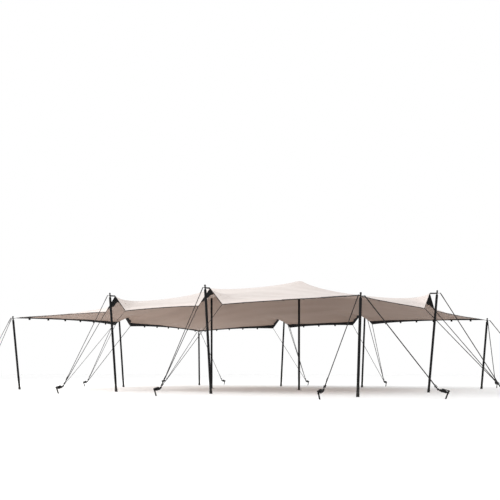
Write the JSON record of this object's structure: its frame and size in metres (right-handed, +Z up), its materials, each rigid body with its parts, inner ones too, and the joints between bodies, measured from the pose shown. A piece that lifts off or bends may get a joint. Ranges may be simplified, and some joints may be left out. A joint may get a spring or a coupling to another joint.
{
  "type": "stretch tent",
  "caption": "Open-sided stretch tent: a cream cloth with raised peaks over two upright inner poles, held out by leaning black poles, strap guys with ratchets, and ground stakes.",
  "frame": {"origin": "on the ground at the middle of the plan, stakes included", "axes": "+X along the long front side from left to right, +Y from the front side to the back, +Z up"},
  "size_m": [17.4902, 14.5502, 3.63],
  "materials": {
    "cloth": "matt woven stretch polyester, cream above and taupe below",
    "webbing": "black polyester webbing",
    "pole_black": "satin black coating on aluminium tube",
    "steel": "dull dark zinc plating"
  },
  "bodies": {
    "root": {"border_webbing": "webbing", "canopy": "cloth", "guy_back_left_corner_to_back": "webbing", "guy_back_left_corner_to_left": "webbing", "guy_back_right_corner_to_back": "webbing", "guy_back_right_corner_to_right": "webbing", "guy_back_side_left": "webbing", "guy_back_side_right": "webbing", "guy_front_left_corner_to_front": "webbing", "guy_front_left_corner_to_left": "webbing", "guy_front_right_corner_to_front": "webbing", "guy_front_right_corner_to_right": "webbing", "guy_front_side_left": "webbing", "guy_front_side_right": "webbing", "guy_left_side": "webbing", "guy_right_side": "webbing", "king_pole_left": "pole_black", "king_pole_right": "pole_black", "pole_back_left_corner": "pole_black", "pole_back_right_corner": "pole_black", "pole_back_side_left": "pole_black", "pole_back_side_right": "pole_black", "pole_front_left_corner": "pole_black", "pole_front_right_corner": "pole_black", "pole_front_side_left": "pole_black", "pole_front_side_right": "pole_black", "pole_left_side": "pole_black", "pole_right_side": "pole_black", "ratchet_back_left_corner_to_back": "steel", "ratchet_back_left_corner_to_left": "steel", "ratchet_back_right_corner_to_back": "steel", "ratchet_back_right_corner_to_right": "steel", "ratchet_back_side_left": "steel", "ratchet_back_side_right": "steel", "ratchet_front_left_corner_to_front": "steel", "ratchet_front_left_corner_to_left": "steel", "ratchet_front_right_corner_to_front": "steel", "ratchet_front_right_corner_to_right": "steel", "ratchet_front_side_left": "steel", "ratchet_front_side_right": "steel", "ratchet_left_side": "steel", "ratchet_right_side": "steel", "stake_back_left_corner_to_back": "steel", "stake_back_left_corner_to_left": "steel", "stake_back_right_corner_to_back": "steel", "stake_back_right_corner_to_right": "steel", "stake_back_side_left": "steel", "stake_back_side_right": "steel", "stake_front_left_corner_to_front": "steel", "stake_front_left_corner_to_left": "steel", "stake_front_right_corner_to_front": "steel", "stake_front_right_corner_to_right": "steel", "stake_front_side_left": "steel", "stake_front_side_right": "steel", "stake_left_side": "steel", "stake_right_side": "steel"}
  },
  "joints": []
}
